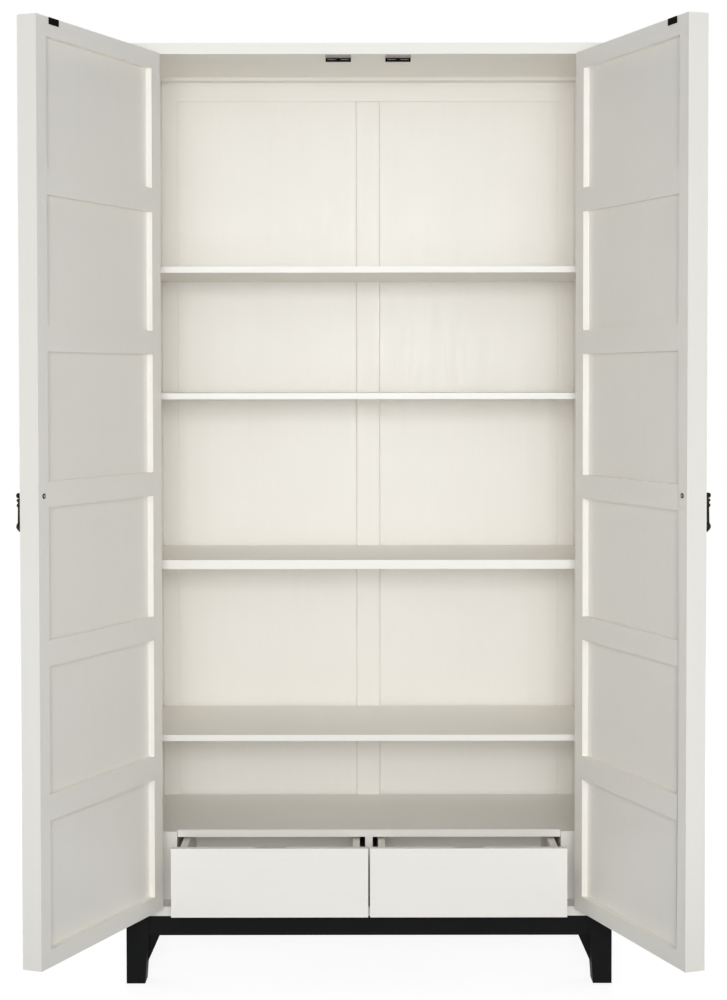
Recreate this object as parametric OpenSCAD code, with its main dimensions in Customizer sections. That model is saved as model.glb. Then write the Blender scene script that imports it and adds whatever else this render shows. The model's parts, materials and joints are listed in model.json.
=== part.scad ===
// Tall two-door armoire: painted frame-and-panel case on a dark base, two drawers and four shelves.
// X runs across the front, Y runs from the front edge of the case into its depth, Z runs up from the floor.

/* [Case] */
// Width across the case
case_w = 1115; // [920:1:1340]
// Height from the floor to the top
total_h = 2150; // [1790:1:2580]
// Depth of the case from front edge to back edge
case_d = 490; // [400:1:600]
// Thickness of each side board
side_t = 40; // [28:0.5:46]
// Thickness of the top board
top_t = 24.9; // [22:0.1:34]
// Thickness of the bottom board
bottom_t = 21.4; // [18:0.1:30]
// Depth of the front rail left under the top board
top_rail_d = 63; // [40:1:90]
// Depth of the strip left under the top board at the back
top_strip_d = 40; // [20:1:80]
// Thickness of the top board over its pocket
top_skin = 8.8; // [4:0.1:10]
// Height of the strip at the back of the pocket
top_strip_h = 8.6; // [3:0.1:9.5]

/* [Base] */
// Height of the legs
leg_h = 156.5; // [130:0.5:200]
// Depth of each leg
leg_d = 50; // [40:1:60]
// Width of each leg at its top
leg_top_w = 54; // [50:1:64]
// Width of each leg at its foot
leg_foot_w = 43; // [34:0.5:48]
// Outward splay of each foot
leg_splay = 0; // [0:0.5:6]
// Height of the aprons
apron_h = 45.5; // [36:0.5:60]
// Thickness of the aprons
apron_t = 20; // [16:0.5:22]
// Set-back of the aprons from the leg faces
apron_inset = 3; // [0:0.5:6]
// Height of the corner brackets
bracket_h = 115; // [70:1:125]
// Reach of the corner brackets along the apron
bracket_w = 43; // [20:1:70]
// Thickness of the corner brackets
bracket_t = 18; // [12:0.5:20]

/* [Shelves] */
// Top face of the first shelf from the top
shelf_1_z = 1648.5; // [1480:0.5:1700]
// Top face of the second shelf from the top
shelf_2_z = 1356.3; // [1100:0.1:1460]
// Top face of the third shelf from the top
shelf_3_z = 969.4; // [700:0.1:1060]
// Top face of the lowest shelf
shelf_4_z = 561.8; // [420:0.5:660]
// Thickness of the loose shelves
shelf_t = 14; // [12:0.1:20]
// Thickness of the third shelf
thick_shelf_t = 20.9; // [16:0.1:26]
// Set-back of the shelf front edges
shelf_front = 67; // [60:1:110]

/* [Back] */
// Thickness of the back frame
back_frame_t = 18; // [15:0.5:22]
// Width of the outer stiles of the back
back_stile_w = 39.5; // [30:0.5:70]
// Width of the centre stile of the back
back_centre_w = 61; // [40:1:80]
// Height of the top rail of the back
back_top_h = 46.5; // [30:0.5:80]
// Height of the bottom rail of the back
back_bottom_h = 70; // [50:1:110]
// Thickness of the back panels
back_panel_t = 6; // [4:0.5:8]
// How far the back frame stands in front of its panels
back_reveal = 6; // [3:0.5:8]

/* [Doors] */
// Opening angle of the left door
left_angle = 112.8; // [0:0.1:180]
// Opening angle of the right door
right_angle = 109.7; // [0:0.1:180]
// Thickness of the doors
door_t = 44.7; // [38:0.1:50]
// Width of the door stiles
door_stile_w = 38; // [32:0.5:60]
// Height of the top rail of each door
door_top_h = 39.5; // [34:0.5:60]
// Height of the bottom rail of each door
door_bottom_h = 36; // [30:0.5:60]
// Height of the rails between the door panels
door_rail_h = 53; // [36:0.5:60]
// Thickness of the door panels
door_panel_t = 16; // [10:0.5:18]
// Lift of the first rail from the top above even spacing
rail_lift_1 = 0; // [-15:1:15]
// Lift of the second rail above even spacing
rail_lift_2 = 1; // [-15:1:15]
// Lift of the lock rail of the left door above even spacing
rail_lift_3_left = 3; // [-15:1:15]
// Lift of the lock rail of the right door above even spacing
rail_lift_3_right = -4; // [-15:1:15]
// Lift of the fourth rail above even spacing
rail_lift_4 = -3; // [-15:1:15]
// Gap under the doors
door_gap_bottom = 2.6; // [2:0.1:5]
// Gap over the doors
door_gap_top = 2.2; // [2:0.1:6]
// Gap between the two closed doors
meeting_gap = 4; // [3:0.5:6]

/* [Hinges] */
// Gap between a side board and the hinge edge of its door
hinge_gap = 3; // [2.6:0.1:4]
// Distance of the hinge pins in front of the case
hinge_out = 6; // [5:0.5:9]
// Radius of the hinge knuckles
knuckle_r = 4.5; // [4:0.1:4.8]
// Radius of the hinge pins
hinge_pin_r = 2; // [1.5:0.1:2.6]
// Height of one hinge
hinge_h = 76; // [50:1:110]
// Depth of a hinge leaf into the case
hinge_leaf_d = 34; // [20:1:40]
// Distance of the outer hinges from the door ends
hinge_end = 180; // [80:1:300]

/* [Drawers] */
// Height of the top face of the deck over the drawers
deck_z = 336; // [300:0.1:400]
// Thickness of the deck
deck_t = 16.9; // [15:0.1:22]
// Set-back of the closed drawer fronts
drawer_set = 66; // [60:0.5:80]
// Thickness of the drawer fronts
drawer_front_t = 18.1; // [16:0.1:22]
// Thickness of the board between the drawers
divider_t = 17.2; // [12:0.1:24]
// Width of the fillers beside the drawers
filler_w = 70.5; // [40:0.5:100]
// Thickness of the boards that carry the outer runners
partition_t = 16; // [12:0.5:20]
// How far the drawers stand open
drawer_out = 160; // [0:1:255]
// Thickness of the drawer sides and back
box_t = 16; // [12:0.5:18]
// Gap between the drawer sides and the deck
box_top_gap = 6.4; // [3:0.1:30]
// Thickness of the drawer bottoms
box_bottom_t = 6; // [4:0.5:8]
// Width of each runner gap
runner_gap = 12.7; // [12:0.1:14]
// Height of the fixed runner channels
runner_h = 45; // [35:1:50]
// Width of the finger scoop in a drawer front
scoop_w = 77; // [50:1:110]
// Depth of the finger scoop
scoop_d = 6; // [3:0.5:10]

/* [Pulls and catches] */
// Height of the pull pivot above the floor
pull_z = 1150.5; // [900:0.5:1300]
// Distance of the pull from the free edge of the door
pull_edge = 19.5; // [14:0.5:26]
// Length of the drop below its pivot
drop_len = 75.5; // [65:0.5:90]
// Greatest radius of the drop
drop_r = 7.9; // [6:0.1:8.5]
// Width of a catch
catch_w = 58; // [40:1:64]
// Height of a catch
catch_h = 8.5; // [8:0.5:14]
// Distance of a catch from the middle of the case
catch_x = 39.5; // [30:0.5:60]
// Width of a strike plate
strike_w = 37; // [25:1:50]
// Height of a strike plate
strike_h = 14; // [10:0.5:20]

/* [Hidden] */
$fn = 48;

// Colours
paint = "#ece9e0";
dark = "#262626";
brass = "#5a4a2c";
steel = "#b9bbbd";
black = "#1c1b1a";

// Clearances
fit = 0.2;
slide_fit = 0.3;
pin_fit = 0.15;
eps = 0.5;

// Joinery sizes
housing = 6;
tongue_t = 12;
tongue_stop = 22;
tenon_l = 12;
tenon_t = 10;
tenon_shoulder = 8;
groove = 8;
groove_stop = 12;
small_groove = 6;
box_tongue_t = 8;

// Main planes
half_w = case_w / 2;
side_in = half_w - side_t;
floor_z = leg_h + bottom_t;
ceiling_z = total_h - top_t;
pocket_z = total_h - top_skin;
strip_z = pocket_z - top_strip_h;
apron_z = leg_h - apron_h;
apron_back_y = apron_inset + apron_t;

// Back frame
back_gap = 1;
back_y = case_d - back_gap - back_frame_t;
back_panel_y = back_y + back_reveal;
back_panel_in = side_in - back_stile_w;
back_rail_z = strip_z - back_top_h;
stile_chamfer = 3;
stile_shoulder = 0.8;

// Shelf pins
shelf_pin_r = 2.5;
shelf_pin_l = 10;
shelf_pin_reach = 9;
pin_inset = 45;
shelf_side_gap = 0.4;
shelf_back_gap = 1;
shelf_tops = [shelf_1_z, shelf_2_z, shelf_3_z, shelf_4_z];
shelf_ts = [shelf_t, shelf_t, thick_shelf_t, shelf_t];
shelf_back = back_y - shelf_back_gap;
pin_ys = [shelf_front + pin_inset, shelf_back - pin_inset];

// Drawer section
deck_front = drawer_set + drawer_front_t + slide_fit;
deck_under = deck_z - deck_t;
partition_in = side_in - filler_w;
front_side_gap = 1.8;
front_in = meeting_gap / 2 + 0.15;
front_out = partition_in - front_side_gap;
front_bottom_gap = 1;
front_top_gap = 1.5;
front_back_y = drawer_set + drawer_front_t;
box_lift = 7.6;
box_z = floor_z + box_lift;
box_h = deck_under - box_top_gap - box_z;
box_out = partition_in - runner_gap;
box_in = divider_t / 2 + runner_gap;
box_rear_gap = 37;
box_back_y = back_y - box_rear_gap;
box_bottom_lift = 10;
box_bottom_z = box_z + box_bottom_lift;
scoop_t = 11;

// Runners
channel_t = 1.2;
channel_clear = 0.5;
runner_z = box_z + box_h / 2;
runner_front_gap = 4;
runner_y = deck_front + runner_front_gap;
runner_l = box_back_y - runner_y;
moving_h = runner_h - 2 * channel_t - 2 * slide_fit;

// Doors in their closed place
pivot_x = side_in - hinge_gap / 2;
pivot_y = -hinge_out;
door_edge = side_in - hinge_gap;
door_free = meeting_gap / 2;
door_z = floor_z + door_gap_bottom;
door_top = ceiling_z - door_gap_top;
door_h = door_top - door_z;
panel_inset = (door_t - door_panel_t) / 2;
rail_count = 5;
pane_h = (door_h - door_top_h - door_bottom_h - rail_count * door_rail_h) / (rail_count + 1);
rail_pitch = pane_h + door_rail_h;
lifts_left = [rail_lift_1, rail_lift_2, rail_lift_3_left, rail_lift_4, 0];
lifts_right = [rail_lift_1, rail_lift_2, rail_lift_3_right, rail_lift_4, 0];

// Hinges
leaf_t = (hinge_gap - fit) / 2;
knuckles = 5;
knuckle_h = hinge_h / knuckles;
knuckle_gap = 0.3;
hinge_head_r = 3.2;
hinge_head_h = 3;
hinge_mid = (door_z + door_top) / 2;
hinge_zs = [door_z + hinge_end, hinge_mid, door_top - hinge_end];

// Catches and strikes
catch_d = 12;
catch_plate_y = 4;
catch_plate_t = 1.2;
catch_face_gap = 9;
catch_face_w = catch_w / 2 - catch_face_gap;
catch_face_h = 5.6;
catch_face_out = 1;
catch_rim = 1.1;
catch_bar_h = 1.6;
strike_t = 1.5;
catch_gap = 1.8;
catch_y = door_t + strike_t + catch_gap;
strike_edge = catch_x + (catch_w - strike_w) / 2;

// Pulls
pull_x = door_free + pull_edge;
pull_stand = 12.6;
pull_disc_r = 8;
pull_disc_t = 2;
cheek_r = 5.5;
cheek_in = 2.2;
cheek_t = 3;
pull_pin_r = 1.1;
eye_r = 4;
eye_w = 3.6;
neck_r = 1.7;
bead_r = 6.9;
bead_half = 3.5;
bead_1 = 9.7;
bead_2 = 20.3;
shaft_top_r = 4.4;
shaft_low_r = 4.8;
flare_l = 9.5;
tip_l = 12;
screw_r = 2;
screw_head_r = 5.4;
screw_head_t = 1.4;
screw_cap_r = 2.4;
screw_cap_t = 1;

// Bottom of rail i of a door, counted from the top, with that door's lifts
function rail_z(i, lifts) = door_top - door_top_h - (i + 1) * rail_pitch + lifts[i];

// Lower and upper edge of pane i of a door
function pane_top(i, lifts) = i == 0 ? door_top - door_top_h : rail_z(i - 1, lifts);
function pane_bottom(i, lifts) = i == rail_count ? door_z + door_bottom_h : rail_z(i, lifts) + door_rail_h;

// Inner edge of a leg at height z
function leg_in(z) = half_w + leg_splay - leg_foot_w
    - (leg_top_w - leg_foot_w + leg_splay) * z / leg_h;

// A box from one corner to the opposite corner
module span(a, b) {
    translate(a)
        cube(b - a);
}

// A piece drawn on the left of the case, or its mirror on the right
module handed(right) {
    mirror([right ? 1 : 0, 0, 0])
        children();
}

// A piece drawn on the closed left door, swung to that door's opening angle
module on_door(right) {
    handed(right)
        translate([-pivot_x, pivot_y, 0])
            rotate([0, 0, -(right ? right_angle : left_angle)])
                translate([pivot_x, -pivot_y, 0])
                    children();
}

// A piece drawn on a closed left drawer, slid out
module on_drawer(right) {
    handed(right)
        translate([0, -drawer_out, 0])
            children();
}

// Left front leg with its two mortises
module leg() {
    difference() {
        translate([0, leg_d, 0])
            rotate([90, 0, 0])
                linear_extrude(leg_d)
                    polygon([
                        [-half_w - leg_splay, 0],
                        [-leg_in(0), 0],
                        [-leg_in(leg_h), leg_h],
                        [-half_w, leg_h]
                    ]);
        span(
            [-leg_in(apron_z) - tenon_l, apron_inset + (apron_t - tenon_t) / 2 - fit,
                apron_z + tenon_shoulder - fit],
            [-leg_in(leg_h) + eps, apron_inset + (apron_t + tenon_t) / 2 + fit,
                leg_h - tenon_shoulder + fit]
        );
        span(
            [-half_w + apron_inset + (apron_t - tenon_t) / 2 - fit, leg_d - tenon_l,
                apron_z + tenon_shoulder - fit],
            [-half_w + apron_inset + (apron_t + tenon_t) / 2 + fit, leg_d + eps,
                leg_h - tenon_shoulder + fit]
        );
    }
}

// Front apron with a tenon at each end
module apron() {
    tenon_end = leg_in(apron_z) + tenon_l - fit;
    translate([0, apron_back_y, 0])
        rotate([90, 0, 0])
            linear_extrude(apron_t)
                polygon([
                    [-leg_in(apron_z), apron_z],
                    [leg_in(apron_z), apron_z],
                    [leg_in(leg_h), leg_h],
                    [-leg_in(leg_h), leg_h]
                ]);
    span(
        [-tenon_end, apron_inset + (apron_t - tenon_t) / 2, apron_z + tenon_shoulder],
        [tenon_end, apron_inset + (apron_t + tenon_t) / 2, leg_h - tenon_shoulder]
    );
}

// Left side apron with a tenon at each end
module side_apron() {
    span(
        [-half_w + apron_inset, leg_d, apron_z],
        [-half_w + apron_inset + apron_t, case_d - leg_d, leg_h]
    );
    span(
        [-half_w + apron_inset + (apron_t - tenon_t) / 2, leg_d - tenon_l + fit,
            apron_z + tenon_shoulder],
        [-half_w + apron_inset + (apron_t + tenon_t) / 2, case_d - leg_d + tenon_l - fit,
            leg_h - tenon_shoulder]
    );
}

// Sloping bracket behind the front apron against the left leg
module bracket() {
    low = leg_h - bracket_h;
    translate([0, apron_back_y + bracket_t, 0])
        rotate([90, 0, 0])
            linear_extrude(bracket_t)
                polygon([
                    [-leg_in(low), low],
                    [-leg_in(leg_h) + bracket_w, leg_h],
                    [-leg_in(leg_h), leg_h]
                ]);
}

// Same piece at the back of the case
module at_back() {
    translate([0, case_d, 0])
        mirror([0, 1, 0])
            children();
}

module leg_front_left() {
    color(dark)
        leg();
}

module leg_front_right() {
    color(dark)
        handed(true)
            leg();
}

module leg_back_left() {
    color(dark)
        at_back()
            leg();
}

module leg_back_right() {
    color(dark)
        at_back()
            handed(true)
                leg();
}

module apron_front() {
    color(dark)
        apron();
}

module apron_back() {
    color(dark)
        at_back()
            apron();
}

module aprons_side() {
    color(dark)
        for (right = [false, true])
            handed(right)
                side_apron();
}

module corner_brackets() {
    color(dark)
        for (right = [false, true])
            handed(right) {
                bracket();
                at_back()
                    bracket();
            }
}

// Slot that takes the tongue at the end of the left side board
module side_slot(z) {
    span(
        [-(half_w + side_in + tongue_t) / 2 - fit, tongue_stop - fit, z - housing - fit],
        [-(half_w + side_in - tongue_t) / 2 + fit, case_d - tongue_stop + fit, z + housing + fit]
    );
}

module bottom_board() {
    color(paint)
        difference() {
            span([-half_w, 0, leg_h], [half_w, case_d, floor_z]);
            for (right = [false, true])
                handed(right)
                    side_slot(floor_z);
        }
}

module top_board() {
    color(paint)
        difference() {
            span([-half_w, 0, ceiling_z], [half_w, case_d, total_h]);
            span(
                [-side_in, top_rail_d, ceiling_z - eps],
                [side_in, back_y - top_strip_d, pocket_z]
            );
            span(
                [-side_in, back_y - top_strip_d - eps, ceiling_z - eps],
                [side_in, case_d + eps, strip_z]
            );
            for (right = [false, true])
                handed(right)
                    side_slot(ceiling_z);
        }
}

// Left side board with its end tongues, deck housing and shelf-pin holes
module side_board() {
    difference() {
        union() {
            span([-half_w, 0, floor_z], [-side_in, case_d, ceiling_z]);
            span(
                [-(half_w + side_in + tongue_t) / 2, tongue_stop, floor_z - housing],
                [-(half_w + side_in - tongue_t) / 2, case_d - tongue_stop, ceiling_z + housing]
            );
        }
        span(
            [-side_in - housing - fit, deck_front - fit, deck_under],
            [-side_in + eps, back_y + fit, deck_z]
        );
        for (i = [0 : len(shelf_tops) - 1], y = pin_ys)
            translate([-side_in + eps, y, shelf_tops[i] - shelf_ts[i] / 2])
                rotate([0, -90, 0])
                    cylinder(r = shelf_pin_r + pin_fit, h = shelf_pin_l + eps + fit);
    }
}

module side_left() {
    color(paint)
        side_board();
}

module side_right() {
    color(paint)
        handed(true)
            side_board();
}

// Rail of the back frame between two heights, grooved for the panels and the centre stile
module back_rail(z0, z1, groove_z0, groove_z1) {
    color(paint)
        difference() {
            union() {
                span([-back_panel_in, back_y, z0], [back_panel_in, back_y + back_frame_t, z1]);
                span(
                    [-back_panel_in - groove + fit, back_panel_y, z0],
                    [back_panel_in + groove - fit, back_panel_y + back_panel_t, z1]
                );
            }
            span(
                [-back_panel_in - groove, back_panel_y - fit, groove_z0],
                [back_panel_in + groove, back_panel_y + back_panel_t + fit, groove_z1]
            );
        }
}

module back_top_rail() {
    back_rail(back_rail_z, strip_z, back_rail_z - eps, back_rail_z + groove);
}

module back_bottom_rail() {
    back_rail(
        floor_z, floor_z + back_bottom_h,
        floor_z + back_bottom_h - groove, floor_z + back_bottom_h + eps
    );
}

module back_centre_stile() {
    z0 = floor_z + back_bottom_h;
    z1 = back_rail_z;
    w = back_centre_w / 2;
    color(paint)
        difference() {
            union() {
                span([-w, back_y, z0], [w, back_y + back_frame_t, z1 - stile_shoulder]);
                span(
                    [-w + groove, back_panel_y, z0 - groove + fit],
                    [w - groove, back_panel_y + back_panel_t, z1 + groove - fit]
                );
            }
            for (right = [false, true])
                handed(right) {
                    span(
                        [-w - eps, back_panel_y - fit, z0 - groove],
                        [-w + groove, back_panel_y + back_panel_t + fit, z1 + groove]
                    );
                    translate([-w, back_y, z0 - eps])
                        rotate([0, 0, 45])
                            span(
                                [-stile_chamfer, -stile_chamfer, 0],
                                [stile_chamfer / sqrt(2), stile_chamfer, z1 - z0 + 2 * eps]
                            );
                }
        }
}

module back_outer_stiles() {
    color(paint)
        for (right = [false, true])
            handed(right)
                difference() {
                    span([-side_in, back_y, floor_z], [-back_panel_in, back_y + back_frame_t, strip_z]);
                    span(
                        [-back_panel_in - groove, back_panel_y - fit, floor_z - eps],
                        [-back_panel_in + eps, back_panel_y + back_panel_t + fit, strip_z + eps]
                    );
                }
}

// Left panel of the back, held in grooves on all four sides
module back_panel() {
    edge = groove - fit;
    span(
        [-back_panel_in - edge, back_panel_y, floor_z + back_bottom_h - edge],
        [-back_centre_w / 2 + edge, back_panel_y + back_panel_t, back_rail_z + edge]
    );
}

module back_panel_left() {
    color(paint)
        back_panel();
}

module back_panel_right() {
    color(paint)
        handed(true)
            back_panel();
}

// Loose shelf with its top face at z, slotted from the back at each end for its pins
module shelf(z, t) {
    x = side_in - shelf_side_gap;
    color(paint)
        difference() {
            span([-x, shelf_front, z - t], [x, shelf_back, z]);
            for (right = [false, true])
                handed(right)
                    span(
                        [-x - eps, pin_ys[0] - shelf_pin_r - fit, z - t / 2 - shelf_pin_r - 2 * fit],
                        [-side_in + shelf_pin_reach + fit, shelf_back + eps, z - t / 2 + shelf_pin_r]
                    );
        }
}

module shelf_1() {
    shelf(shelf_1_z, shelf_t);
}

module shelf_2() {
    shelf(shelf_2_z, shelf_t);
}

module shelf_3() {
    shelf(shelf_3_z, thick_shelf_t);
}

module shelf_4() {
    shelf(shelf_4_z, shelf_t);
}

module shelf_pins() {
    color(steel)
        for (right = [false, true], i = [0 : len(shelf_tops) - 1], y = pin_ys)
            handed(right)
                translate([-side_in - shelf_pin_l, y, shelf_tops[i] - shelf_ts[i] / 2])
                    rotate([0, 90, 0])
                        cylinder(r = shelf_pin_r, h = shelf_pin_l + shelf_pin_reach);
}

module drawer_deck() {
    x = side_in + housing;
    color(paint)
        span([-x, deck_front, deck_under], [x, back_y, deck_z]);
}

module drawer_divider() {
    color(paint)
        span([-divider_t / 2, deck_front, floor_z], [divider_t / 2, back_y, deck_under]);
}

module drawer_fillers() {
    color(paint)
        for (right = [false, true])
            handed(right)
                span([-side_in, drawer_set, floor_z], [-partition_in, deck_front, deck_z]);
}

module drawer_partitions() {
    color(paint)
        for (right = [false, true])
            handed(right)
                span(
                    [-partition_in - partition_t, deck_front, floor_z],
                    [-partition_in, back_y, deck_under]
                );
}

// Channel of height h with its web at x = 0 and its flanges running to +x
module channel(h, flange) {
    translate([0, runner_y, runner_z])
        difference() {
            span([0, 0, -h / 2], [flange, runner_l, h / 2]);
            span([channel_t, -eps, channel_t - h / 2], [flange + eps, runner_l + eps, h / 2 - channel_t]);
        }
}

// Channels screwed to the partition and to the divider beside the left drawer
module fixed_runners() {
    flange = runner_gap - channel_t - channel_clear;
    translate([-partition_in, 0, 0])
        channel(runner_h, flange);
    translate([-divider_t / 2, 0, 0])
        mirror([1, 0, 0])
            channel(runner_h, flange);
}

// Channels screwed to the two sides of the left drawer, nested in the fixed ones
module moving_runners() {
    flange = runner_gap - channel_t - channel_clear;
    translate([-box_out, 0, 0])
        mirror([1, 0, 0])
            channel(moving_h, flange);
    translate([-box_in, 0, 0])
        channel(moving_h, flange);
}

module runners_fixed() {
    color(steel)
        for (right = [false, true])
            handed(right)
                fixed_runners();
}

module runners_moving_left() {
    color(steel)
        on_drawer(false)
            moving_runners();
}

module runners_moving_right() {
    color(steel)
        on_drawer(true)
            moving_runners();
}

// Front of the left drawer with slots for its sides and bottom and a finger scoop behind the top edge
module drawer_front(right) {
    top = deck_z - front_top_gap;
    scoop_r = (scoop_w * scoop_w / 4 + scoop_d * scoop_d) / (2 * scoop_d);
    color(paint)
        on_drawer(right)
            difference() {
                span([-front_out, drawer_set, floor_z + front_bottom_gap], [-front_in, front_back_y, top]);
                for (x = [-box_out + box_t / 2, -box_in - box_t / 2])
                    span(
                        [x - box_tongue_t / 2 - fit, front_back_y - small_groove, box_z - fit],
                        [x + box_tongue_t / 2 + fit, front_back_y + eps, box_z + box_h + fit]
                    );
                span(
                    [-box_out + box_t / 2, front_back_y - small_groove, box_bottom_z - fit],
                    [-box_in - box_t / 2, front_back_y + eps, box_bottom_z + box_bottom_t + fit]
                );
                translate([-(front_in + front_out) / 2, front_back_y + eps, top - scoop_d + scoop_r])
                    rotate([90, 0, 0])
                        cylinder(r = scoop_r, h = scoop_t + eps, $fn = 96);
            }
}

// Sides of a drawer, each with a tongue at the front and a groove for the bottom
module drawer_sides(right) {
    color(paint)
        on_drawer(right)
            for (x = [-box_out, -box_in - box_t])
                difference() {
                    union() {
                        span([x, front_back_y, box_z], [x + box_t, box_back_y, box_z + box_h]);
                        span(
                            [x + (box_t - box_tongue_t) / 2, front_back_y - small_groove + fit, box_z],
                            [x + (box_t + box_tongue_t) / 2, front_back_y + eps, box_z + box_h]
                        );
                    }
                    span(
                        [-box_out + box_t - small_groove, front_back_y - small_groove, box_bottom_z - fit],
                        [-box_in - box_t + small_groove, box_back_y + eps, box_bottom_z + box_bottom_t + fit]
                    );
                }
}

module drawer_back(right) {
    color(paint)
        on_drawer(right)
            span(
                [-box_out + box_t, box_back_y - box_t, box_bottom_z + box_bottom_t],
                [-box_in - box_t, box_back_y, box_z + box_h]
            );
}

module drawer_bottom(right) {
    edge = small_groove - fit;
    color(paint)
        on_drawer(right)
            span(
                [-box_out + box_t - edge, front_back_y - edge, box_bottom_z],
                [-box_in - box_t + edge, box_back_y, box_bottom_z + box_bottom_t]
            );
}

module drawer_front_left() {
    drawer_front(false);
}

module drawer_front_right() {
    drawer_front(true);
}

module drawer_sides_left() {
    drawer_sides(false);
}

module drawer_sides_right() {
    drawer_sides(true);
}

module drawer_back_left() {
    drawer_back(false);
}

module drawer_back_right() {
    drawer_back(true);
}

module drawer_bottom_left() {
    drawer_bottom(false);
}

module drawer_bottom_right() {
    drawer_bottom(true);
}

// Door stile between x0 and x1, with a stopped groove along the edge at groove_x
module door_stile(x0, x1, groove_x) {
    difference() {
        span([x0, 0, door_z], [x1, door_t, door_top]);
        span(
            [groove_x - groove, panel_inset - fit, door_z + groove_stop - fit],
            [groove_x + groove, panel_inset + door_panel_t + fit, door_top - groove_stop + fit]
        );
    }
}

module hinge_stile(right) {
    inner = -door_edge + door_stile_w;
    color(paint)
        on_door(right)
            door_stile(-door_edge, inner, inner);
}

module lock_stile(right) {
    inner = -door_free - door_stile_w;
    color(paint)
        on_door(right)
            difference() {
                door_stile(inner, -door_free, inner);
                translate([-pull_x, -eps, pull_z])
                    rotate([-90, 0, 0])
                        cylinder(r = screw_r + pin_fit, h = door_t + 2 * eps);
            }
}

module hinge_stile_left() {
    hinge_stile(false);
}

module hinge_stile_right() {
    hinge_stile(true);
}

module lock_stile_left() {
    lock_stile(false);
}

module lock_stile_right() {
    lock_stile(true);
}

// Door rail between two heights, with stub tenons and grooves in the edges that hold a panel
module door_rail(z0, z1, tenon_z0, tenon_z1) {
    x0 = -door_edge + door_stile_w;
    x1 = -door_free - door_stile_w;
    tip = groove - fit;
    difference() {
        union() {
            span([x0, 0, z0], [x1, door_t, z1]);
            span(
                [x0 - tip, panel_inset, tenon_z0],
                [x1 + tip, panel_inset + door_panel_t, tenon_z1]
            );
        }
        for (z = [z0, z1])
            if (z > door_z && z < door_top)
                span(
                    [x0 - groove, panel_inset - fit, z - groove],
                    [x1 + groove, panel_inset + door_panel_t + fit, z + groove]
                );
    }
}

// The seven rails of one door
module door_rails(right) {
    lifts = right ? lifts_right : lifts_left;
    color(paint)
        on_door(right) {
            door_rail(door_top - door_top_h, door_top, door_top - door_top_h, door_top - groove_stop);
            for (i = [0 : rail_count - 1])
                door_rail(
                    rail_z(i, lifts), rail_z(i, lifts) + door_rail_h,
                    rail_z(i, lifts), rail_z(i, lifts) + door_rail_h
                );
            door_rail(door_z, door_z + door_bottom_h, door_z + groove_stop, door_z + door_bottom_h);
        }
}

// The six floating panels of one door
module door_panels(right) {
    lifts = right ? lifts_right : lifts_left;
    edge = groove - fit;
    color(paint)
        on_door(right)
            for (i = [0 : rail_count])
                span(
                    [-door_edge + door_stile_w - edge, panel_inset, pane_bottom(i, lifts) - edge],
                    [-door_free - door_stile_w + edge, panel_inset + door_panel_t, pane_top(i, lifts) + edge]
                );
}

module rails_left() {
    door_rails(false);
}

module rails_right() {
    door_rails(true);
}

module panels_left() {
    door_panels(false);
}

module panels_right() {
    door_panels(true);
}

// One hinge half, centred on the hinge pin: a leaf from x = leaf_x and the knuckles named in mine
module hinge_half(leaf_x, mine) {
    others = [for (k = [0 : knuckles - 1]) if (len(search(k, mine)) == 0) k];
    difference() {
        union() {
            span([leaf_x, 0, 0], [leaf_x + leaf_t, hinge_leaf_d, hinge_h]);
            for (k = mine)
                translate([0, 0, k * knuckle_h + knuckle_gap / 2])
                    cylinder(r = knuckle_r, h = knuckle_h - knuckle_gap);
        }
        for (k = others)
            translate([0, 0, k * knuckle_h - knuckle_gap / 2])
                cylinder(r = knuckle_r + slide_fit, h = knuckle_h + knuckle_gap);
        translate([0, 0, -eps])
            cylinder(r = hinge_pin_r + pin_fit, h = hinge_h + 2 * eps);
    }
}

// Something at each hinge of the closed left door, with the pin at the origin
module at_hinges() {
    for (z = hinge_zs)
        translate([-pivot_x, pivot_y, z - hinge_h / 2])
            children();
}

module hinge_leaves_case() {
    color(steel)
        for (right = [false, true])
            handed(right)
                at_hinges()
                    hinge_half(-hinge_gap / 2, [0, 2, 4]);
}

module hinge_leaves(right) {
    color(steel)
        on_door(right)
            at_hinges()
                hinge_half(hinge_gap / 2 - leaf_t, [1, 3]);
}

module hinge_leaves_left() {
    hinge_leaves(false);
}

module hinge_leaves_right() {
    hinge_leaves(true);
}

module hinge_pins() {
    color(steel)
        for (right = [false, true])
            handed(right)
                at_hinges() {
                    cylinder(r = hinge_pin_r, h = hinge_h);
                    for (z = [-hinge_head_h, hinge_h])
                        translate([0, 0, z])
                            cylinder(r = hinge_head_r, h = hinge_head_h);
                }
}

// Bar of length w and height h with round ends, centred on the origin, from depth back out to d in front
module rounded_bar(w, h, back, d) {
    rotate([90, 0, 0])
        translate([0, 0, -back]) {
            for (x = [-(w - h) / 2, (w - h) / 2])
                translate([x, 0, 0])
                    cylinder(r = h / 2, h = back + d);
            translate([-(w - h) / 2, -h / 2, 0])
                cube([w - h, h, back + d]);
        }
}

// Left catch: a thin plate under the top board, a block behind the door and two rimmed faces
module catch_block() {
    face_z = ceiling_z - (catch_h + catch_plate_t) / 2;
    span(
        [-catch_x - catch_w, catch_plate_y, ceiling_z - catch_plate_t],
        [-catch_x, catch_y + catch_d, ceiling_z]
    );
    span(
        [-catch_x - catch_w, catch_y, ceiling_z - catch_h],
        [-catch_x, catch_y + catch_d, ceiling_z - catch_plate_t]
    );
    for (side = [-1, 1])
        translate([-catch_x - catch_w / 2 + side * catch_w / 4, catch_y, face_z]) {
            difference() {
                rounded_bar(catch_face_w, catch_face_h, eps, catch_face_out);
                rounded_bar(
                    catch_face_w - 2 * catch_rim, catch_face_h - 2 * catch_rim,
                    2 * eps, catch_face_out + eps
                );
            }
            rounded_bar(catch_face_w - 4 * catch_rim, catch_bar_h, eps, catch_face_out);
        }
}

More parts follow.
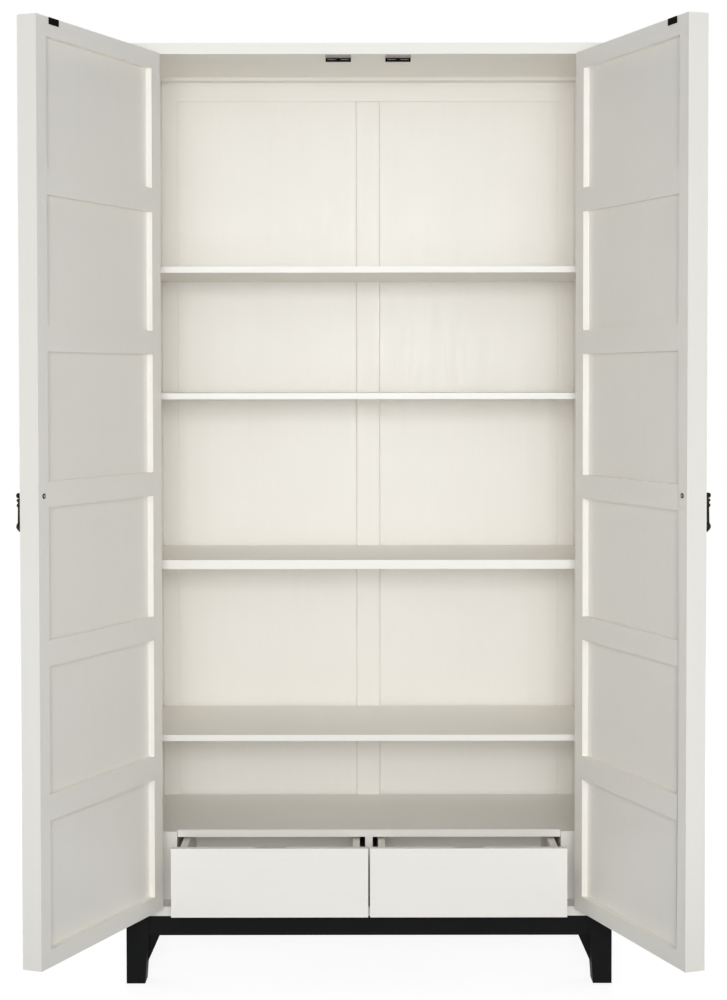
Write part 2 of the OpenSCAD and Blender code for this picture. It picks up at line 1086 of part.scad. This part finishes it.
module catches() {
    color(black)
        for (right = [false, true])
            handed(right)
                catch_block();
}

module strike(right) {
    color(black)
        on_door(right)
            span(
                [-strike_edge - strike_w, door_t, door_top - strike_h],
                [-strike_edge, door_t + strike_t, door_top]
            );
}

module strike_left() {
    strike(false);
}

module strike_right() {
    strike(true);
}

// Something at the pull of a door, with the pivot of the drop at the origin
module at_pull(right) {
    on_door(right)
        translate([-pull_x, -pull_stand, pull_z])
            children();
}

// Round plate with two cheeks and the cross pin that carries the drop
module pull_plate(right) {
    color(brass)
        at_pull(right)
            difference() {
                union() {
                    translate([0, pull_stand, 0])
                        rotate([90, 0, 0])
                            cylinder(r = pull_disc_r, h = pull_disc_t);
                    for (x = [-cheek_in - cheek_t, cheek_in]) {
                        translate([x, 0, 0])
                            rotate([0, 90, 0])
                                cylinder(r = cheek_r, h = cheek_t);
                        span([x, 0, -cheek_r], [x + cheek_t, pull_stand - pull_disc_t + eps, cheek_r]);
                    }
                    translate([-cheek_in - eps, 0, 0])
                        rotate([0, 90, 0])
                            cylinder(r = pull_pin_r, h = 2 * (cheek_in + eps));
                }
                translate([0, pull_stand + eps, 0])
                    rotate([90, 0, 0])
                        cylinder(r = screw_r + pin_fit, h = pull_disc_t + 2 * eps);
            }
}

// Screw through the lock stile, with a capped washer head on the inside of the door
module pull_screw(right) {
    color(brass)
        on_door(right)
            translate([-pull_x, door_t, pull_z])
                rotate([90, 0, 0]) {
                    cylinder(r = screw_r, h = door_t + pull_disc_t);
                    translate([0, 0, -screw_head_t])
                        cylinder(r = screw_head_r, h = screw_head_t);
                    translate([0, 0, -screw_head_t - screw_cap_t])
                        cylinder(r = screw_cap_r, h = screw_cap_t + eps);
                }
}

// Half outline of a bead at depth z, swelling from radius r_over above and r_under below
function bead_line(z, r_over, r_under, steps) = [
    for (i = [-steps : steps])
        let (a = 90 * i / steps, r = i < 0 ? r_over : r_under)
            [r + (bead_r - r) * cos(a), -z - bead_half * sin(a)]
];

// Drop turned about its own length, hung from an eye on the cross pin
module pull_drop(right) {
    steps = 8;
    belly = drop_len - tip_l;
    shaft_low = belly - flare_l;
    profile = concat(
        [[0, -eye_r / 2], [neck_r, -eye_r / 2]],
        bead_line(bead_1, neck_r, shaft_top_r, steps),
        bead_line(bead_2, shaft_top_r, shaft_top_r, steps),
        [for (i = [0 : steps])
            let (s = i / steps)
                [shaft_low_r + (drop_r - shaft_low_r) * (1 - cos(180 * s)) / 2, -shaft_low - flare_l * s]],
        [for (i = [1 : steps - 1])
            let (s = i / steps)
                [drop_r * cos(90 * s), -belly - tip_l * s]],
        [[0, -drop_len]]
    );
    color(brass)
        at_pull(right)
            difference() {
                union() {
                    translate([-eye_w / 2, 0, 0])
                        rotate([0, 90, 0])
                            cylinder(r = eye_r, h = eye_w);
                    rotate_extrude()
                        polygon(profile);
                }
                translate([-eye_w, 0, 0])
                    rotate([0, 90, 0])
                        cylinder(r = pull_pin_r + pin_fit, h = 2 * eye_w);
            }
}

module pull_plate_left() {
    pull_plate(false);
}

module pull_plate_right() {
    pull_plate(true);
}

module pull_screw_left() {
    pull_screw(false);
}

module pull_screw_right() {
    pull_screw(true);
}

module pull_drop_left() {
    pull_drop(false);
}

module pull_drop_right() {
    pull_drop(true);
}

leg_front_left();
leg_front_right();
leg_back_left();
leg_back_right();
apron_front();
apron_back();
aprons_side();
corner_brackets();
bottom_board();
top_board();
side_left();
side_right();
back_top_rail();
back_bottom_rail();
back_centre_stile();
back_outer_stiles();
back_panel_left();
back_panel_right();
shelf_1();
shelf_2();
shelf_3();
shelf_4();
shelf_pins();
drawer_deck();
drawer_divider();
drawer_fillers();
drawer_partitions();
runners_fixed();
hinge_leaves_case();
hinge_pins();
catches();
hinge_stile_left();
lock_stile_left();
rails_left();
panels_left();
hinge_leaves_left();
strike_left();
pull_plate_left();
pull_screw_left();
pull_drop_left();
hinge_stile_right();
lock_stile_right();
rails_right();
panels_right();
hinge_leaves_right();
strike_right();
pull_plate_right();
pull_screw_right();
pull_drop_right();
drawer_front_left();
drawer_sides_left();
drawer_back_left();
drawer_bottom_left();
runners_moving_left();
drawer_front_right();
drawer_sides_right();
drawer_back_right();
drawer_bottom_right();
runners_moving_right();
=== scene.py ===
import json
import math

import bmesh
import bpy
import numpy as np
from mathutils import Matrix, Vector


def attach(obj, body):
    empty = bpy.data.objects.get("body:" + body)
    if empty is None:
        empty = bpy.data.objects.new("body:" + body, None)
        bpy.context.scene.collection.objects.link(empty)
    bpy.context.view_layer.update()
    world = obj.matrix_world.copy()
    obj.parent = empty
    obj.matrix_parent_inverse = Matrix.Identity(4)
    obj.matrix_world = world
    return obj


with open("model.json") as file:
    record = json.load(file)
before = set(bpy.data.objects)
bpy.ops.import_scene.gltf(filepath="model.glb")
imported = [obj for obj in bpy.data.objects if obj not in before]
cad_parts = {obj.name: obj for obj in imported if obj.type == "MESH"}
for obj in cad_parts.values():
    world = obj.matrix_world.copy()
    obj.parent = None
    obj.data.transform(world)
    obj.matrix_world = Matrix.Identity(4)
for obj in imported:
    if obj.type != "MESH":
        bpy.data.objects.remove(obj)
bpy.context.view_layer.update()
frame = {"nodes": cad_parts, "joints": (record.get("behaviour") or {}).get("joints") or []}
nodes = frame["nodes"]
scene = bpy.context.scene


# ---------------------------------------------------------------- materials

NOISE_SPAN = (0.3, 0.7)    # most of a noise texture's values lie between these


class Tree:
    """A material's node tree, with short calls for making and joining nodes."""

    def __init__(self, name):
        self.mat = bpy.data.materials.new(name)
        self.mat.use_nodes = True
        self.nt = self.mat.node_tree
        self.bsdf = self.nt.nodes["Principled BSDF"]
        self.coord = self.node("ShaderNodeTexCoord")

    def node(self, kind, **props):
        n = self.nt.nodes.new(kind)
        for key, value in props.items():
            setattr(n, key, value)
        return n

    def link(self, out, to):
        self.nt.links.new(out, to)

    def mapped(self, scale=(1, 1, 1)):
        m = self.node("ShaderNodeMapping")
        m.inputs["Scale"].default_value = scale
        self.link(self.coord.outputs["Object"], m.inputs["Vector"])
        return m.outputs["Vector"]

    def noise(self, vector, scale, detail, roughness, distortion=0.0):
        n = self.node("ShaderNodeTexNoise")
        n.inputs["Scale"].default_value = scale
        n.inputs["Detail"].default_value = detail
        n.inputs["Roughness"].default_value = roughness
        n.inputs["Distortion"].default_value = distortion
        self.link(vector, n.inputs["Vector"])
        return n.outputs["Fac"]

    def ramp(self, fac, stops):
        r = self.node("ShaderNodeValToRGB")
        els = r.color_ramp.elements
        while len(els) < len(stops):
            els.new(0.5)
        for el, (pos, col) in zip(els, stops):
            el.position = pos
            el.color = (*col, 1)
        self.link(fac, r.inputs["Fac"])
        return r.outputs["Color"]

    def shades(self, fac, low, high):
        """Colours from low to high over a noise texture's span."""
        return self.ramp(fac, [(NOISE_SPAN[0], low), (NOISE_SPAN[1], high)])

    def scalar(self, fac, low, high, a=NOISE_SPAN[0], b=NOISE_SPAN[1]):
        """Numbers from low to high where fac goes from a to b."""
        m = self.node("ShaderNodeMapRange")
        m.inputs["From Min"].default_value = a
        m.inputs["From Max"].default_value = b
        m.inputs["To Min"].default_value = low
        m.inputs["To Max"].default_value = high
        self.link(fac, m.inputs["Value"])
        return m.outputs["Result"]

    def mix(self, kind, a, b, fac):
        m = self.node("ShaderNodeMix", data_type="RGBA", blend_type=kind)
        if isinstance(fac, float):
            m.inputs["Factor"].default_value = fac
        else:
            self.link(fac, m.inputs["Factor"])
        self.link(a, m.inputs[6])
        self.link(b, m.inputs[7])
        return m.outputs[2]

    def bump(self, height, strength, distance, normal=None):
        b = self.node("ShaderNodeBump")
        b.inputs["Strength"].default_value = strength
        b.inputs["Distance"].default_value = distance
        self.link(height, b.inputs["Height"])
        if normal is not None:
            self.link(normal, b.inputs["Normal"])
        return b.outputs["Normal"]


def stretched(across, down, along):
    """The scale for marks that run along one axis (0, 1 or 2): down is that axis's, across the other two's."""
    scale = [across] * 3
    scale[along] = down
    return tuple(scale)


def paint(name, base, dark, grain, rough, spec, along):
    """Satin paint over wood: soft mottling, faint grain that reads through, brush marks and orange-peel bump.
    The grain and the brush marks run along one axis."""
    t = Tree(name)
    grain_n = t.noise(t.mapped(stretched(26.0, 1.1, along)), 3.0, 6.0, 0.62, 0.35)
    brush_n = t.noise(t.mapped(stretched(150.0, 4.0, along)), 2.2, 3.0, 0.6)
    mottle = t.noise(t.mapped(), 5.5, 3.0, 0.55)
    peel = t.noise(t.mapped(), 420.0, 2.0, 0.5)
    col = t.ramp(mottle, [(0.3, dark), (0.72, base)])
    tint = t.ramp(grain_n, [(0.35, grain), (0.62, (1, 1, 1))])
    col = t.mix("MULTIPLY", col, tint, 0.5)
    t.link(col, t.bsdf.inputs["Base Color"])
    t.link(t.scalar(brush_n, *rough), t.bsdf.inputs["Roughness"])
    wood = t.bump(grain_n, 0.05, 0.0004)
    brushed = t.bump(brush_n, 0.04, 0.0002, wood)
    t.link(t.bump(peel, 0.08, 0.0001, brushed), t.bsdf.inputs["Normal"])
    t.bsdf.inputs["Specular IOR Level"].default_value = spec
    return t.mat


# For each paint: its colour, the darker colour of its mottling, the grain's tint, roughness and specular level.
CREAM = ((0.94, 0.908, 0.848), (0.93, 0.897, 0.835), (0.985, 0.981, 0.975), (0.33, 0.43), 0.4)
BLACK = ((0.0076, 0.0076, 0.0076), (0.006, 0.006, 0.0061), (0.85, 0.85, 0.85), (0.5, 0.62), 0.08)
paint_v = paint("paint_upright", *CREAM, along=2)
paint_h = paint("paint_across", *CREAM, along=0)
paint_y = paint("paint_deep", *CREAM, along=1)
black_v = paint("base_upright", *BLACK, along=2)
black_h = paint("base_across", *BLACK, along=0)
black_y = paint("base_deep", *BLACK, along=1)


def brass(name, rub_low, rub_high):
    """Antique brass, blackened: near black in the hollows, with rub_low to rub_high showing on the swellings."""
    t = Tree(name)
    cloud = t.noise(t.mapped(), 95.0, 5.0, 0.6, 0.4)
    fine = t.noise(t.mapped(), 900.0, 3.0, 0.6)
    point = t.node("ShaderNodeNewGeometry").outputs["Pointiness"]
    worn = t.scalar(point, 0.0, 0.8, 0.5, 0.58)
    col = t.ramp(cloud, [(0.32, (0.004, 0.003, 0.002)), (0.58, (0.012, 0.008, 0.004)),
                         (0.85, (0.06, 0.036, 0.015))])
    rub = t.shades(fine, rub_low, rub_high)
    t.link(t.mix("MIX", col, rub, worn), t.bsdf.inputs["Base Color"])
    t.link(t.scalar(cloud, 0.5, 0.3, 0.3, 0.75), t.bsdf.inputs["Roughness"])
    t.link(t.bump(fine, 0.22, 0.0002, t.bump(cloud, 0.2, 0.0004)), t.bsdf.inputs["Normal"])
    t.bsdf.inputs["Metallic"].default_value = 0.9
    return t.mat


def metal(name, low, high, rough, along):
    """Drawn steel: fine streaks along one axis with uneven sheen."""
    t = Tree(name)
    streak = t.noise(t.mapped(stretched(500.0, 500.0 / 60, along)), 1.0, 4.0, 0.65)
    cloud = t.noise(t.mapped(), 40.0, 3.0, 0.5)
    t.link(t.shades(streak, low, high), t.bsdf.inputs["Base Color"])
    t.link(t.scalar(cloud, *rough), t.bsdf.inputs["Roughness"])
    t.link(t.bump(streak, 0.12, 0.0001), t.bsdf.inputs["Normal"])
    t.bsdf.inputs["Metallic"].default_value = 1.0
    return t.mat


steel_v = metal("steel_upright", (0.44, 0.44, 0.43), (0.60, 0.60, 0.59), (0.28, 0.42), 2)
steel_y = metal("steel_deep", (0.42, 0.42, 0.42), (0.58, 0.58, 0.58), (0.30, 0.45), 1)
brass_m = brass("antique_brass", (0.03, 0.019, 0.010), (0.11, 0.068, 0.036))
brass_dark = brass("blackened_brass", (0.008, 0.006, 0.004), (0.03, 0.02, 0.011))


def enamel():
    """Black stoved enamel on pressed steel."""
    t = Tree("black_enamel")
    peel = t.noise(t.mapped(), 650.0, 3.0, 0.5)
    cloud = t.noise(t.mapped(), 60.0, 3.0, 0.5)
    black = t.shades(cloud, (0.0012, 0.0012, 0.0011), (0.0025, 0.0024, 0.0022))
    t.link(black, t.bsdf.inputs["Base Color"])
    t.link(t.scalar(peel, 0.35, 0.5), t.bsdf.inputs["Roughness"])
    t.link(t.bump(peel, 0.15, 0.0002), t.bsdf.inputs["Normal"])
    t.bsdf.inputs["Specular IOR Level"].default_value = 0.015
    return t


CATCH_RIMS_Y = 0.0475    # a plane just behind the front of the raised rims and bars
CATCH_PLATE_T = 0.0014    # the mounting plate, with a little to spare
CATCH_BARS = (0.0058, 0.0038)    # the bars' span, down from the top of the catch


def catch_finish():
    """Black catch body; its mounting plate and the magnet bars in its face are bare grey metal."""
    t = enamel()
    black = t.bsdf.inputs["Base Color"].links[0].from_socket
    top = max(corner[2] for corner in nodes["catches"].bound_box)
    place = t.node("ShaderNodeSeparateXYZ")
    t.link(t.coord.outputs["Object"], place.inputs[0])

    def test(axis, kind, value):
        m = t.node("ShaderNodeMath", operation=kind)
        m.inputs[1].default_value = value
        t.link(place.outputs[axis], m.inputs[0])
        return m.outputs[0]

    def both(a, b):
        m = t.node("ShaderNodeMath", operation="MULTIPLY")
        t.link(a, m.inputs[0])
        t.link(b, m.inputs[1])
        return m.outputs[0]

    front = test("Y", "LESS_THAN", CATCH_RIMS_Y)
    plate = both(front, test("Z", "GREATER_THAN", top - CATCH_PLATE_T))
    bars = both(front, both(test("Z", "GREATER_THAN", top - CATCH_BARS[0]),
                            test("Z", "LESS_THAN", top - CATCH_BARS[1])))
    scuff = t.noise(t.mapped(), 180.0, 4.0, 0.6)
    bar = t.shades(scuff, (0.2, 0.175, 0.145), (0.4, 0.355, 0.3))
    zinc = t.shades(scuff, (0.52, 0.465, 0.46), (0.66, 0.6, 0.59))
    col = t.mix("MIX", t.mix("MIX", black, bar, bars), zinc, plate)
    t.link(col, t.bsdf.inputs["Base Color"])
    return t.mat


BUTTON_R = 0.00245    # radius of the bright button


def screw_finish(name):
    """Dark screw with a brighter round button in the middle of its head, about the screw's own axis."""
    obj = nodes[name]
    pts = np.array([v.co for v in obj.data.vertices])
    mid = pts.mean(0)
    axis = np.linalg.eigh(np.cov((pts - mid).T))[1][:, 2]
    t = Tree("screw_" + name)
    cloud = t.noise(t.mapped(), 300.0, 4.0, 0.6)
    dark = t.shades(cloud, (0.035, 0.032, 0.028), (0.075, 0.068, 0.058))
    light = t.shades(cloud, (0.5, 0.48, 0.44), (0.66, 0.64, 0.6))
    off = t.node("ShaderNodeVectorMath", operation="SUBTRACT")
    off.inputs[1].default_value = tuple(mid)
    t.link(t.coord.outputs["Object"], off.inputs[0])
    side = t.node("ShaderNodeVectorMath", operation="CROSS_PRODUCT")
    side.inputs[1].default_value = tuple(axis)
    t.link(off.outputs["Vector"], side.inputs[0])
    reach = t.node("ShaderNodeVectorMath", operation="LENGTH")
    t.link(side.outputs["Vector"], reach.inputs[0])
    inner = t.node("ShaderNodeMath", operation="LESS_THAN")
    inner.inputs[1].default_value = BUTTON_R
    t.link(reach.outputs["Value"], inner.inputs[0])
    t.link(t.mix("MIX", dark, light, inner.outputs[0]), t.bsdf.inputs["Base Color"])
    t.link(t.scalar(cloud, 0.3, 0.45), t.bsdf.inputs["Roughness"])
    t.link(t.bump(cloud, 0.15, 0.0002), t.bsdf.inputs["Normal"])
    t.bsdf.inputs["Metallic"].default_value = 0.6
    return t.mat


enamel_m = enamel().mat
catch_m = catch_finish()
screws = {name: screw_finish(name) for name in ("pull_screw_left", "pull_screw_right")}

# A node takes the first finish here that has the start of its name, and paint_h when none has.
FINISHES = (
    (("leg_", "corner_brackets"), black_v),
    (("apron_front", "apron_back"), black_h),
    (("aprons_side",), black_y),
    (("pull_plate",), brass_dark),
    (("pull_drop",), brass_m),
    (("catches",), catch_m),
    (("strike",), enamel_m),
    (("runners",), steel_y),
    (("hinge_leaves", "hinge_pins", "shelf_pins"), steel_v),
    (("drawer_divider", "drawer_partitions", "drawer_sides"), paint_y),
    (("side_", "back_centre", "back_outer", "back_panel", "hinge_stile", "lock_stile", "panels_"), paint_v),
)


def finish_for(name):
    if name in screws:
        return screws[name]
    for starts, mat in FINISHES:
        if name.startswith(starts):
            return mat
    return paint_h


METAL_NAMES = ("pull_", "catches", "strike", "runners", "hinge_leaves", "hinge_pins", "shelf_pins")
EASE_METAL = 0.00022    # width of the eased edges
EASE_WOOD = 0.0009
FLAT = math.radians(0.4)    # faces that meet at less than this are one
EDGE = math.radians(50)    # faces that meet at more than this have an edge to ease

for name, obj in nodes.items():
    finish = finish_for(name)
    mats = obj.data.materials
    if len(mats) == 0:
        mats.append(finish)
    for i in range(len(mats)):
        mats[i] = finish
    clean = obj.modifiers.new("flat_faces", "DECIMATE")
    clean.decimate_type = "DISSOLVE"
    clean.angle_limit = FLAT
    bevel = obj.modifiers.new("eased_edges", "BEVEL")
    bevel.width = EASE_METAL if name.startswith(METAL_NAMES) else EASE_WOOD
    bevel.segments = 2
    bevel.limit_method = "ANGLE"
    bevel.angle_limit = EDGE


# ---------------------------------------------------------------- hinge screws

SCREW_R = 0.0034
SCREW_T = 0.0006
SCREW_SIDES = 28
SCREW_PROUD = 0.00006    # the head's rise over the leaf; the leaves are 0.2 mm apart when the door is shut
# Each slot is a flat bar a little proud of the screw head, painted dark: painted shade standing in for the shadow
# down in a slot's groove.
SLOT_W = 0.0009
SLOT_LEN = SCREW_R * 1.9
SLOT_EXTRA = 0.00004    # how much thicker than the head the slot piece is, half of it on each side
PIVOT = (0.516, -0.006)    # hinge axis in x (to either side) and y
LEAF_FACE = 0.0001    # from the hinge axis to the face of a leaf, across the gap
SCREW_Y = 0.022    # from the hinge axis to the screws, along the leaf
SCREW_ROWS = ((-0.026, 0.5), (0.0, 2.1), (0.026, 1.2))    # height from the hinge's middle, and slot angle
HINGES_APART = 0.1    # heights further apart than this belong to different hinges


def hinge_heights():
    """Mid heights of the three hinges, from the ends of the leaves on the left door."""
    zs = sorted({round(v.co.z, 4) for v in nodes["hinge_leaves_left"].data.vertices})
    groups = [[zs[0]]]
    for z in zs[1:]:
        if z - groups[-1][-1] > HINGES_APART:
            groups.append([z])
        else:
            groups[-1].append(z)
    return [(g[0] + g[-1]) / 2 for g in groups]


def hinge_screws(name, body, side, angle, on_case):
    """Countersunk slotted screws, three to a leaf, nearly flush in one side's leaves on the case or on the door.
    Side is -1 for the left and 1 for the right; angle is how far that door stands open at rest, 0 on the case."""
    bm = bmesh.new()
    swing = (Matrix.Translation((side * PIVOT[0], PIVOT[1], 0))
             @ Matrix.Rotation(side * math.radians(angle), 4, "Z"))
    face = side * LEAF_FACE * (1 if on_case else -1)
    out = -side if on_case else side
    for z in hinge_heights():
        for step, tilt in SCREW_ROWS:
            spot = swing @ Matrix.Translation((face + out * (SCREW_PROUD - SCREW_T / 2), SCREW_Y, z + step))
            turned = spot @ Matrix.Rotation(math.radians(90), 4, "Y")
            bmesh.ops.create_cone(bm, cap_ends=True, segments=SCREW_SIDES, radius1=SCREW_R, radius2=SCREW_R,
                                  depth=SCREW_T, matrix=turned)
            before = set(bm.faces)
            # The slot bar, which takes the dark paint of painted shade in place of the slot's own shadow.
            slot = (spot @ Matrix.Rotation(tilt, 4, "X")
                    @ Matrix.Diagonal((SCREW_T + SLOT_EXTRA, SLOT_W, SLOT_LEN, 1)))
            bmesh.ops.create_cube(bm, size=1.0, matrix=slot)
            for f in set(bm.faces) - before:
                f.material_index = 1
    mesh = bpy.data.meshes.new(name)
    bm.to_mesh(mesh)
    bm.free()
    obj = bpy.data.objects.new(name, mesh)
    scene.collection.objects.link(obj)
    obj.data.materials.append(steel_v)
    obj.data.materials.append(slot_painted_shade)
    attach(obj, body)


# Painted shade: near-black paint for the slot bars, standing in for the shadow inside each screw slot.
def paint_slot_shade():
    t = Tree("screw_slot_painted_shade")
    cloud = t.noise(t.mapped(), 800.0, 3.0, 0.5)
    t.link(t.shades(cloud, (0.02, 0.02, 0.02), (0.045, 0.044, 0.042)), t.bsdf.inputs["Base Color"])
    t.bsdf.inputs["Roughness"].default_value = 0.6
    return t.mat


slot_painted_shade = paint_slot_shade()
open_angle = {j["child"]: -j["range_deg"][0] for j in frame["joints"] if j["child"].startswith("door_")}
for side, door in ((-1, "door_left"), (1, "door_right")):
    hinge_screws("hinge_screws_case_" + door[5:], "case", side, 0.0, True)
    hinge_screws("hinge_screws_" + door, door, side, open_angle[door], False)


# ---------------------------------------------------------------- camera

# Fitted by least squares to the straight edges in the photograph.
SENSOR = 36.0
FOCAL_PX = 1925.04    # for the frame's 1000-pixel height
FRAME_H = 1000
SHIFT_Y = -0.0598
TURN_Z, TILT_X, ROLL_Y = 0.00029, -0.02987, 0.0011
PLACE = (-0.01026, -4.38671, 1.38029)

cam_data = bpy.data.cameras.new("camera")
cam = bpy.data.objects.new("camera", cam_data)
scene.collection.objects.link(cam)
scene.camera = cam
cam_data.sensor_width = SENSOR
cam_data.lens = FOCAL_PX / FRAME_H * SENSOR
cam_data.shift_y = SHIFT_Y
cam_data.clip_start = 0.05
cam_data.clip_end = 60.0
turn = Matrix.Rotation(TURN_Z, 3, "Z") @ Matrix.Rotation(TILT_X, 3, "X") @ Matrix.Rotation(ROLL_Y, 3, "Y")
right, ahead, up = turn @ Vector((1, 0, 0)), turn @ Vector((0, 1, 0)), turn @ Vector((0, 0, 1))
place = Matrix((right, up, -ahead)).transposed().to_4x4()
place.translation = Vector(PLACE)
cam.matrix_world = place


# ---------------------------------------------------------------- floor, world and lights

FLOOR = (0.35, 0.35, 0.35)
FLOOR_SIZE = 40.0
FLOOR_Z = -0.0005    # just under the feet
LIFT = (0.84, 0.96)    # near the object, and far off
LIFT_REACH = (0.9, 4.5)    # the distances from the origin at which those two hold
COOL = (0.973, 1.0, 1.02)    # the colour of the world's light and of every lamp
WORLD = 0.15


def stage_material():
    """Diffuse floor, lifted to white for camera and glossy rays only, so that the lift adds no light to the object.
    The lift is a little lower near the object, so that its shadow still shows there."""
    t = Tree("floor_white")
    diffuse = t.node("ShaderNodeBsdfDiffuse")
    diffuse.inputs["Color"].default_value = (*FLOOR, 1)
    glow = t.node("ShaderNodeEmission")
    glow.inputs["Color"].default_value = (1, 1, 1, 1)
    path = t.node("ShaderNodeLightPath")
    seen = t.node("ShaderNodeMath", operation="MAXIMUM")
    t.link(path.outputs["Is Camera Ray"], seen.inputs[0])
    t.link(path.outputs["Is Glossy Ray"], seen.inputs[1])
    away = t.node("ShaderNodeVectorMath", operation="LENGTH")
    t.link(t.coord.outputs["Object"], away.inputs[0])
    lift = t.node("ShaderNodeMath", operation="MULTIPLY")
    t.link(seen.outputs[0], lift.inputs[0])
    t.link(t.scalar(away.outputs["Value"], *LIFT, *LIFT_REACH), lift.inputs[1])
    t.link(lift.outputs[0], glow.inputs["Strength"])
    both = t.node("ShaderNodeAddShader")
    t.link(diffuse.outputs[0], both.inputs[0])
    t.link(glow.outputs[0], both.inputs[1])
    out = t.nt.nodes["Material Output"]
    t.nt.nodes.remove(t.bsdf)
    t.link(both.outputs[0], out.inputs["Surface"])
    return t.mat


bpy.ops.mesh.primitive_plane_add(size=FLOOR_SIZE, location=(0, 0, FLOOR_Z))
floor = bpy.context.active_object
floor.name = "floor"
floor.data.materials.append(stage_material())

world = bpy.data.worlds.new("world")
scene.world = world
world.use_nodes = True
wt = world.node_tree
wt.nodes.clear()
w_out = wt.nodes.new("ShaderNodeOutputWorld")
w_light = wt.nodes.new("ShaderNodeBackground")
w_light.inputs["Color"].default_value = (*COOL, 1)
w_light.inputs["Strength"].default_value = WORLD
w_white = wt.nodes.new("ShaderNodeBackground")
w_white.inputs["Color"].default_value = (1, 1, 1, 1)
w_white.inputs["Strength"].default_value = 1.0
w_path = wt.nodes.new("ShaderNodeLightPath")
w_max = wt.nodes.new("ShaderNodeMath")
w_max.operation = "MAXIMUM"
wt.links.new(w_path.outputs["Is Camera Ray"], w_max.inputs[0])
wt.links.new(w_path.outputs["Is Glossy Ray"], w_max.inputs[1])
w_mix = wt.nodes.new("ShaderNodeMixShader")
wt.links.new(w_max.outputs[0], w_mix.inputs["Fac"])
wt.links.new(w_light.outputs[0], w_mix.inputs[1])
wt.links.new(w_white.outputs[0], w_mix.inputs[2])
wt.links.new(w_mix.outputs[0], w_out.inputs["Surface"])


def area(name, place, target, size, watts):
    """A soft rectangular lamp at place, facing target."""
    data = bpy.data.lights.new(name, "AREA")
    data.shape = "RECTANGLE"
    data.size, data.size_y = size
    data.energy = watts
    data.color = COOL
    obj = bpy.data.objects.new(name, data)
    scene.collection.objects.link(obj)
    obj.location = place
    obj.rotation_euler = (Vector(target) - Vector(place)).to_track_quat("-Z", "Y").to_euler()
    return obj


area("front_soft", (0.0, -5.6, 1.6), (0, 0.2, 1.1), (3.0, 3.4), 70)
area("front_key", (0.0, -5.0, 1.7), (0, 0.2, 1.2), (1.3, 1.0), 82)
area("front_high", (0.0, -4.0, 3.7), (0, 0.2, 0.8), (3.4, 2.0), 20)
area("behind", (0.0, 5.2, 1.1), (0, 0.4, 1.1), (3.0, 1.5), 85)
area("side_left", (-4.4, 1.9, 1.0), (-0.6, 0.1, 1.1), (2.4, 1.5), 55)
area("side_right", (4.4, 1.9, 1.0), (0.6, 0.1, 1.1), (2.4, 1.5), 55)
area("above", (0.0, 1.6, 5.2), (0, 0.3, 2.15), (2.2, 1.6), 75)
# These two stand in for light thrown back by the floor, and are not seen themselves.
fills = (area("floor_fill", (0.0, -1.9, 0.03), (0, -1.9, 2.0), (3.4, 2.0), 9),
         area("floor_near", (0.0, -0.36, 0.03), (0, -0.36, 2.0), (0.8, 0.5), 0.36))
for fill in fills:
    fill.visible_camera = False
    fill.visible_glossy = False

scene.view_settings.view_transform = "Standard"
